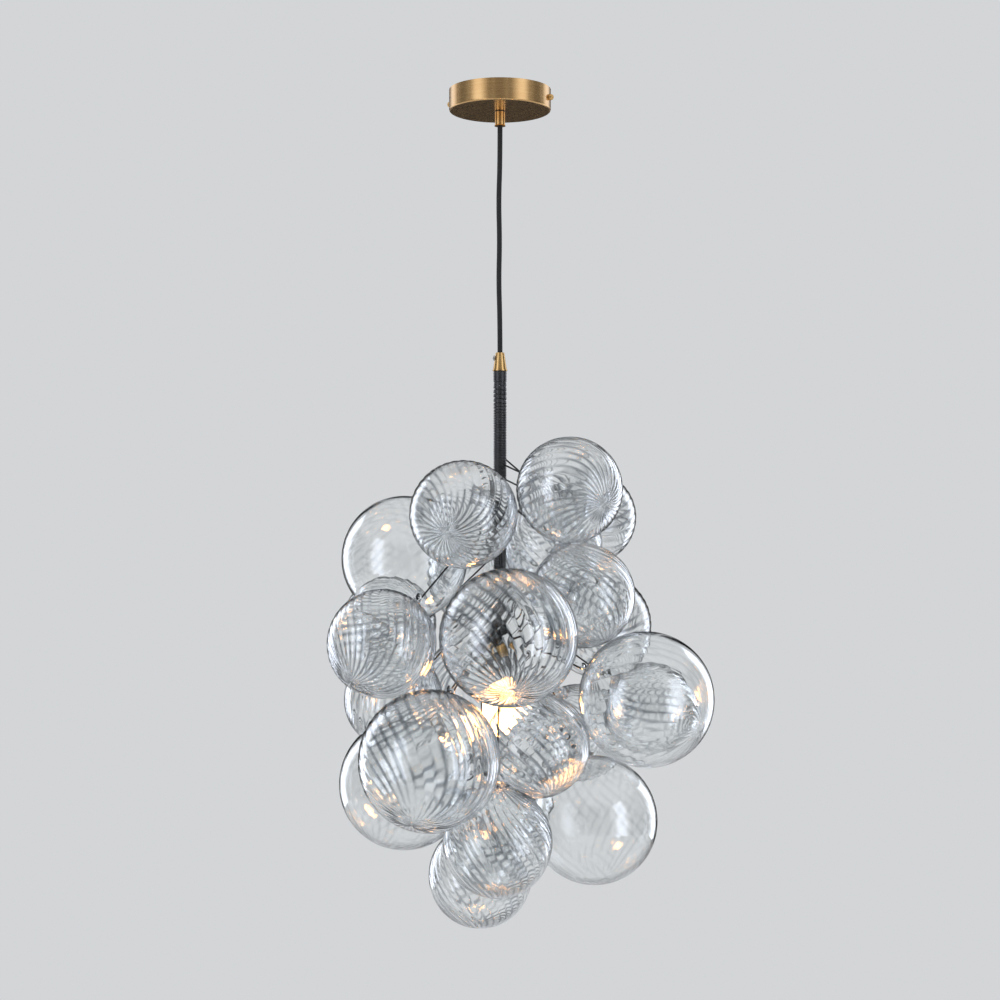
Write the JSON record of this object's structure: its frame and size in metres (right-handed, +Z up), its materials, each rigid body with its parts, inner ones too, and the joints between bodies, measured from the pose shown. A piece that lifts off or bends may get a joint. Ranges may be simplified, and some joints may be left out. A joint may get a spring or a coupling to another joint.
{
  "type": "bubble chandelier",
  "caption": "Cluster pendant light of clear ribbed glass globes hung on wire hooks round a leather-wrapped stem, with a brass canopy and cord.",
  "frame": {"origin": "centre of the canopy's rim on the ceiling plane, midway between the bracket's two screw slots", "axes": "+Z up through the ceiling; +X along the bracket, through the canopy's two side screws"},
  "size_m": [0.5031, 0.5612, 0.9761],
  "materials": {
    "black_fabric": "black woven textile",
    "black_leather": "black leather lace",
    "black_plastic": "black phenolic",
    "black_wire": "black painted steel wire",
    "blown_glass": "clear blown glass with optic ribs",
    "bright_steel": "bright nickel plate",
    "filament_glow": "warm glowing lamp filaments",
    "lamp_glass": "clear lamp glass",
    "lead_insulation": "plastic lead insulation",
    "polished_brass": "polished brass",
    "satin_brass": "satin brushed brass, clear lacquer",
    "white_plastic": "moulded nylon",
    "zinc_steel": "zinc-plated steel"
  },
  "bodies": {
    "ceiling_mount": {"canopy": "satin_brass", "mounting_bracket": "zinc_steel", "canopy_screws": "polished_brass", "terminal_block": "white_plastic", "terminal_screws": "zinc_steel", "earth_screw": "polished_brass", "cord_grip": "polished_brass", "grip_nut": "polished_brass", "cable_tail": "black_fabric", "supply_leads": "lead_insulation"},
    "cord": {"pendant_cord": "black_fabric"},
    "frame": {"cone_cap": "polished_brass", "cone_screw": "bright_steel", "stem_tube": "zinc_steel", "stem_wrap": "black_leather", "stem_cable": "black_plastic", "arms_top": "black_wire", "arms_middle": "black_wire", "arms_lower": "black_wire", "arms_bottom": "black_wire", "holder_cap": "polished_brass", "holder_shell": "black_plastic", "holder_thread": "polished_brass", "holder_contact": "polished_brass", "leather_lace": "black_leather"},
    "lamp": {"bulb_glass": "lamp_glass", "bulb_cap": "bright_steel", "bulb_filament": "filament_glow"},
    "globe_a_hung": {"globe_a": "blown_glass"},
    "globe_b_hung": {"globe_b": "blown_glass"},
    "globe_c_hung": {"globe_c": "blown_glass"},
    "globe_d_hung": {"globe_d": "blown_glass"},
    "globe_e_hung": {"globe_e": "blown_glass"},
    "globe_f_hung": {"globe_f": "blown_glass"},
    "globe_g_hung": {"globe_g": "blown_glass"},
    "globe_h_hung": {"globe_h": "blown_glass"},
    "globe_i_hung": {"globe_i": "blown_glass"},
    "globe_j_hung": {"globe_j": "blown_glass"},
    "globe_k_hung": {"globe_k": "blown_glass"},
    "globe_l_hung": {"globe_l": "blown_glass"},
    "globe_m_hung": {"globe_m": "blown_glass"},
    "globe_n_hung": {"globe_n": "blown_glass"},
    "globe_o_hung": {"globe_o": "blown_glass"},
    "globe_p_hung": {"globe_p": "blown_glass"},
    "globe_q_hung": {"globe_q": "blown_glass"},
    "globe_r_hung": {"globe_r": "blown_glass"},
    "globe_s_hung": {"globe_s": "blown_glass"},
    "globe_t_hung": {"globe_t": "blown_glass"},
    "globe_w_hung": {"globe_w": "blown_glass"},
    "globe_x_hung": {"globe_x": "blown_glass"},
    "globe_y_hung": {"globe_y": "blown_glass"}
  },
  "joints": [
    {"name": "cord_swing", "type": "hinge", "parent": "ceiling_mount", "child": "cord", "pos_m": [0, 0, -0.0423], "axis": [0.7941, -0.6078, 0], "range_deg": [-8, 8]},
    {"name": "frame_turn", "type": "hinge", "parent": "cord", "child": "frame", "pos_m": [0, 0, -0.3097], "axis": [0, 0, 1], "range_deg": [-180, 180]},
    {"name": "lamp_turn", "type": "hinge", "parent": "frame", "child": "lamp", "pos_m": [0, 0, -0.6901], "axis": [0, 0, -1], "range_deg": [0, 360]},
    {"name": "swing_a", "type": "hinge", "parent": "frame", "child": "globe_a_hung", "pos_m": [0, -0.06752, -0.47345], "axis": [-1, 0, 0], "range_deg": [0, 12]},
    {"name": "swing_b", "type": "hinge", "parent": "frame", "child": "globe_b_hung", "pos_m": [0.04428, -0.03101, -0.45269], "axis": [-0.5736, -0.8192, 0], "range_deg": [0, 12]},
    {"name": "swing_c", "type": "hinge", "parent": "frame", "child": "globe_c_hung", "pos_m": [0.03973, 0.10915, -0.48569], "axis": [0.9397, -0.342, 0], "range_deg": [0, 12]},
    {"name": "swing_d", "type": "hinge", "parent": "frame", "child": "globe_d_hung", "pos_m": [-0.0251, -0.00353, -0.54526], "axis": [-0.1392, 0.9903, 0], "range_deg": [0, 12]},
    {"name": "swing_e", "type": "hinge", "parent": "frame", "child": "globe_e_hung", "pos_m": [-0.05737, -0.12303, -0.59189], "axis": [-0.9063, 0.4226, 0], "range_deg": [0, 12]},
    {"name": "swing_f", "type": "hinge", "parent": "frame", "child": "globe_f_hung", "pos_m": [0.03881, -0.10662, -0.56746], "axis": [-0.9397, -0.342, 0], "range_deg": [0, 12]},
    {"name": "swing_g", "type": "hinge", "parent": "frame", "child": "globe_g_hung", "pos_m": [0.07499, -0.02729, -0.52715], "axis": [-0.342, -0.9397, 0], "range_deg": [0, 4]},
    {"name": "swing_h", "type": "hinge", "parent": "frame", "child": "globe_h_hung", "pos_m": [0.0448, 0.11671, -0.62175], "axis": [0.9336, -0.3584, 0], "range_deg": [0, 7]},
    {"name": "swing_i", "type": "hinge", "parent": "frame", "child": "globe_i_hung", "pos_m": [0.11215, -0.04305, -0.67232], "axis": [-0.3584, -0.9336, 0], "range_deg": [0, 5]},
    {"name": "swing_j", "type": "hinge", "parent": "frame", "child": "globe_j_hung", "pos_m": [-0.08476, 0.00593, -0.67107], "axis": [0.0698, 0.9976, 0], "range_deg": [0, 7]},
    {"name": "swing_k", "type": "hinge", "parent": "frame", "child": "globe_k_hung", "pos_m": [-0.00593, -0.16975, -0.68816], "axis": [-0.9994, 0.0349, 0], "range_deg": [0, 11.5]},
    {"name": "swing_l", "type": "hinge", "parent": "frame", "child": "globe_l_hung", "pos_m": [-0.05387, -0.0642, -0.72716], "axis": [-0.766, 0.6428, 0], "range_deg": [0, 7.5]},
    {"name": "swing_m", "type": "hinge", "parent": "frame", "child": "globe_m_hung", "pos_m": [0.04189, -0.04338, -0.69213], "axis": [-0.7193, -0.6947, 0], "range_deg": [0, 2.5]},
    {"name": "swing_n", "type": "hinge", "parent": "frame", "child": "globe_n_hung", "pos_m": [0.09234, 0.02132, -0.77047], "axis": [0.225, -0.9744, 0], "range_deg": [0, 7]},
    {"name": "swing_o", "type": "hinge", "parent": "frame", "child": "globe_o_hung", "pos_m": [0.04121, -0.14371, -0.7811], "axis": [-0.9613, -0.2756, 0], "range_deg": [0, 3]},
    {"name": "swing_p", "type": "hinge", "parent": "frame", "child": "globe_p_hung", "pos_m": [-0.00922, -0.04741, -0.8411], "axis": [-0.9816, 0.1908, 0], "range_deg": [0, 2.5]},
    {"name": "swing_q", "type": "hinge", "parent": "frame", "child": "globe_q_hung", "pos_m": [0.03631, 0.04327, -0.46566], "axis": [0.766, -0.6428, 0], "range_deg": [0, 2.5]},
    {"name": "swing_r", "type": "hinge", "parent": "frame", "child": "globe_r_hung", "pos_m": [0.04365, 0.0895, -0.71066], "axis": [0.8988, -0.4384, 0], "range_deg": [0, 12]},
    {"name": "swing_s", "type": "hinge", "parent": "frame", "child": "globe_s_hung", "pos_m": [-0.03021, 0.0593, -0.53585], "axis": [0.891, 0.454, 0], "range_deg": [0, 12]},
    {"name": "swing_t", "type": "hinge", "parent": "frame", "child": "globe_t_hung", "pos_m": [-0.0447, 0.09164, -0.66346], "axis": [0.8988, 0.4384, 0], "range_deg": [0, 9]},
    {"name": "swing_w", "type": "hinge", "parent": "frame", "child": "globe_w_hung", "pos_m": [-0.018, 0.07219, -0.78562], "axis": [0.9703, 0.2419, 0], "range_deg": [0, 7.5]},
    {"name": "swing_x", "type": "hinge", "parent": "frame", "child": "globe_x_hung", "pos_m": [-0.11242, 0.06232, -0.62708], "axis": [0.4848, 0.8746, 0], "range_deg": [0, 8]},
    {"name": "swing_y", "type": "hinge", "parent": "frame", "child": "globe_y_hung", "pos_m": [0.1152, 0.04654, -0.68789], "axis": [0.3746, -0.9272, 0], "range_deg": [0, 12]}
  ]
}
